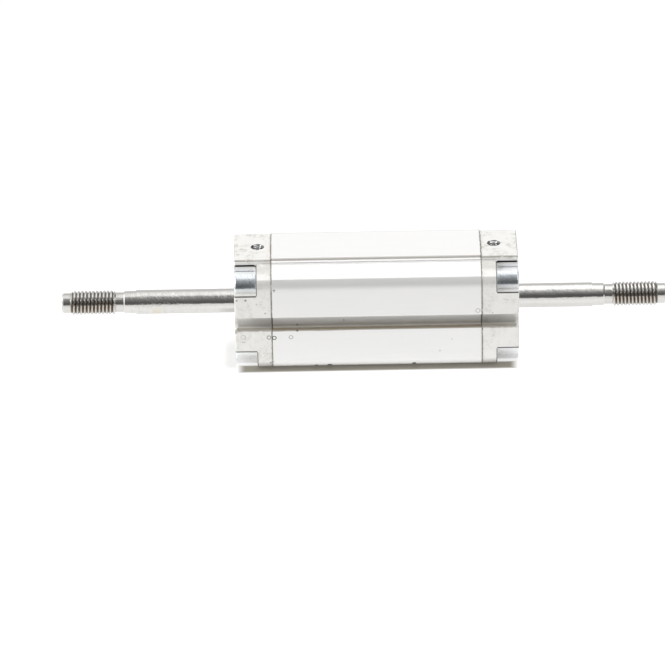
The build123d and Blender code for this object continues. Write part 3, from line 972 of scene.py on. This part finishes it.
bronze, place = new_finish("sintered bronze")
pores = place.noise(4.0, 3.0, 0.7)
tone = place.noise(0.6, 3.0)
colour = pores.step(0.42, 0.60).mixed((0.30, 0.20, 0.11), (0.58, 0.41, 0.23)).darkened(0.8 + 0.4 * tone)
set_surface(
    bronze, Base_Color=colour, Metallic=0.9, Roughness=0.35 + 0.2 * pores, bump=pores, bump_depth=0.02)
for node in ("left_rod_bush", "right_rod_bush"):
    refinish(node, bronze)

# The rod seals: moulded polyurethane rings in the caps' outer faces, with a lip inside that holds the
# air and a lip outside that wipes the rod. They are pressed in by hand and filmed with grease.
moulded, place = new_finish("moulded polyurethane")
film = place.noise(0.7, 4.0, 0.6)
grain = place.noise(6.0, 2.0)
colour = film.mixed((0.060, 0.085, 0.130), (0.120, 0.150, 0.195))
set_surface(moulded, Base_Color=colour, Roughness=0.32 + 0.30 * film, bump=grain, bump_depth=0.01)
for node in ("left_rod_seal", "right_rod_seal"):
    refinish(node, moulded)

# The black rubber rings: the static rings on the caps' spigots, the piston's two lip seals and the
# ring on its stud. All are moulded, and lightly greased where they are fitted.
rubber, place = new_finish("black nitrile rubber")
film = place.noise(0.9, 4.0, 0.6)
grain = place.noise(7.0, 2.0)
colour = film.mixed((0.018, 0.018, 0.019), (0.045, 0.044, 0.042))
set_surface(rubber, Base_Color=colour, Roughness=0.42 + 0.25 * film, bump=grain, bump_depth=0.01)
for node in ("left_cap_o_ring", "right_cap_o_ring", "left_piston_seal", "right_piston_seal", "piston_o_ring"):
    refinish(node, rubber)

# The buffer rings: soft rubber rings that the piston stops against, moulded and pushed into seats in the
# ends of the caps' spigots.
soft, place = new_finish("soft buffer rubber")
film = place.noise(0.8, 4.0, 0.6)
colour = film.mixed((0.035, 0.034, 0.034), (0.075, 0.072, 0.070))
set_surface(soft, Base_Color=colour, Roughness=0.55 + 0.2 * film, bump=place.noise(5.0, 3.0), bump_depth=0.02)
for node in ("left_buffer_ring", "right_buffer_ring"):
    refinish(node, soft)

# The piston: two halves turned from aluminium bar, clamped together on the stud that joins the rods, with
# grooves between and around them for the rings.
turned_metal, place = new_finish("turned aluminium")
cuts = place.stretched(1.0, 0.02, 0.02).noise(6.0, 2.0, 0.6)
film = place.noise(0.5, 4.0, 0.6)
colour = film.mixed((0.70, 0.70, 0.69), (0.58, 0.57, 0.55))
set_surface(
    turned_metal, Base_Color=colour, Metallic=1.0, Roughness=0.22 + 0.14 * film, bump=cuts, bump_depth=0.01)
for node in ("left_piston_half", "right_piston_half"):
    refinish(node, turned_metal)

# The magnet and the guide band: a ring of magnet powder bound in plastic, which the sensors in the slots
# find, and over it a plain band of pale plastic that runs on the bore.
bound, place = new_finish("plastic-bound magnet")
grit = place.noise(3.0, 4.0, 0.7)
colour = grit.step(0.35, 0.65).mixed((0.10, 0.097, 0.095), (0.20, 0.19, 0.185))
set_surface(bound, Base_Color=colour, Metallic=0.2, Roughness=0.45 + 0.2 * grit, bump=grit, bump_depth=0.02)
refinish("magnet_ring", bound)

pale, place = new_finish("pale guide plastic")
film = place.noise(0.7, 4.0, 0.6)
colour = film.mixed((0.78, 0.75, 0.67), (0.60, 0.56, 0.48))
set_surface(pale, Base_Color=colour, Roughness=0.40 + 0.2 * film, bump=place.noise(5.0, 3.0), bump_depth=0.01)
refinish("piston_guide_ring", pale)

# The floor and the room: one flat sheet of pale paper that glows, its shadows painted in as a dimmer and
# warmer glow under and beside the part, in a studio with a large soft light overhead and behind, a lamp high
# in front of each end, and a dim side by the camera.
floor_half = 9.0
floor_corners = [(-floor_half, -floor_half, 0), (floor_half, -floor_half, 0), (floor_half, floor_half, 0),
                 (-floor_half, floor_half, 0)]
floor_mesh = bpy.data.meshes.new("studio_floor")
floor_mesh.from_pydata(floor_corners, [], [(0, 1, 2, 3)])
floor = bpy.data.objects.new("studio_floor", floor_mesh)
bpy.context.scene.collection.objects.link(floor)
paper, place = new_finish("pale studio paper")
x, y = place.parts()[:2]
# Painted contact shadow and painted light: the paper's glow falls to a dim warm glow under the part, dips
# beside its left end, is raised near the part and under the notches, and fades far off; under the part the
# paper's colour is darker and warmer
lift = abs(y).step(20.3, 22.5).larger(abs(x).step(54.0, 59.0))
under_notches = abs(x).step(46.5, 48.5) * abs(y).step(16.0, 14.6)
lift = lift.larger(0.75 * under_notches)
painted_shadow = x.step(-57.5, -58.5) * x.step(-67.0, -60.0) * y.step(-24.0, -13.0) * y.step(22.0, -2.0)
near = abs(y).step(95.0, 24.0)
distant = distance(x, y).step(330.0, 620.0)
glow = lift * (0.60 + 0.22 * near - 0.34 * painted_shadow) * (1 - 0.8 * distant)
sheet_colour = lift.mixed((0.24, 0.222, 0.190), (0.36, 0.36, 0.36))
set_surface(
    paper, Base_Color=sheet_colour, Roughness=0.9, Specular_IOR_Level=0.0,
    Emission_Color=glow.mixed((0.105, 0.102, 0.090), (1.0, 1.0, 1.0)), Emission_Strength=1.0)
floor.data.materials.append(paper)

room = bpy.data.worlds.new("studio")
bpy.context.scene.world = room
room.use_nodes = True
tree = room.node_tree
way = Feed(tree, None).node("ShaderNodeTexCoord", {}, {}, "Generated")
dx, dy, dz = way.parts()
angle = dz.math("ARCTAN2", dz, 0 - dy) / math.pi
room_top = 10.5
backdrop = (1.1 / room_top,) * 3
left_side = (1.7 / room_top,) * 3
right_side = (0.20 / room_top,) * 3


def ramped(angle, degrees):
    """A grey that follows a list of angles and values."""
    stops = [(degree / 180, value / room_top) for degree, value in degrees]
    return angle.node("ShaderNodeValToRGB", {"stops": stops}, {0: angle})


left_bands = ramped(angle, [
    (0, 0.45), (2, 0.25), (6, 0.14), (18, 0.13), (32, 0.17), (44, 0.21), (56, 0.27), (67, 0.30), (74, 0.42),
    (81, 0.98), (96, 1.12), (122, 1.05), (132, 0.90), (142, 0.78), (180, 0.78)])
right_bands = ramped(angle, [
    (0, 0.45), (3, 0.22), (9, 0.12), (24, 0.12), (33, 0.22), (43, 0.29), (52, 0.48), (62, 0.75), (72, 1.00),
    (82, 1.60), (96, 2.10), (120, 1.80), (132, 0.95), (142, 0.78), (180, 0.78)])
bands = dx.step(-0.05, 0.07).mixed(left_bands, right_bands)
ends = abs(dx).step(0.55, 0.80)
lamps = ends * dy.step(0.10, -0.30) * dz.step(0.30, 0.60) * (0.40 + 0.60 * dx.step(0.3, -0.3))
side_light = dx.step(0.3, -0.3).mixed(right_side, left_side)
light = lamps.mixed(ends.mixed(bands, side_light), (1.0, 1.0, 1.0))
seen = light.node("ShaderNodeLightPath", {}, {}, "Is Camera Ray")
shown = seen.mixed(light, backdrop)
background = tree.nodes["Background"]
tree.links.new(shown.socket, background.inputs["Color"])
background.inputs["Strength"].default_value = room_top
bpy.context.scene.view_settings.view_transform = "Standard"

# The camera: a long lens from the front and above, a little to the left and not quite level. The picture
# is square, and the point that the camera aims at is a little off its middle.
lens = 289.4
sensor = 36.0
picture = 665
focus = lens / sensor * picture
camera_far = 2.2
azimuth = math.radians(-0.5)
elevation = math.radians(26.29)
roll = math.radians(-0.762)
aim = Vector((0.0, 0.0, axis_height * mm))
aim_pixel = (376.2, 297.93)
flat = math.cos(elevation)
back = Vector((math.sin(azimuth) * flat, -math.cos(azimuth) * flat, math.sin(elevation)))
across_x = (aim_pixel[0] - picture / 2) / focus
across_y = (picture / 2 - aim_pixel[1]) / focus
level = back.to_track_quat("Z", "Y").to_matrix()
turned_camera = level @ Matrix.Rotation(roll, 3, "Z")
forward = (turned_camera @ Vector((-across_x, -across_y, -1.0))).normalized()
right = turned_camera @ Vector((1, 0, 0))
up = right.cross(forward).normalized()
right = forward.cross(up).normalized()
camera_data = bpy.data.cameras.new("camera")
camera_data.lens = lens
camera_data.sensor_width = sensor
camera_data.clip_start = 0.1
camera_data.clip_end = 40.0
camera = bpy.data.objects.new("camera", camera_data)
bpy.context.scene.collection.objects.link(camera)
spin = Matrix((right, up, -forward)).transposed()
camera.matrix_world = Matrix.Translation(aim + back * camera_far) @ spin.to_4x4()
bpy.context.scene.camera = camera
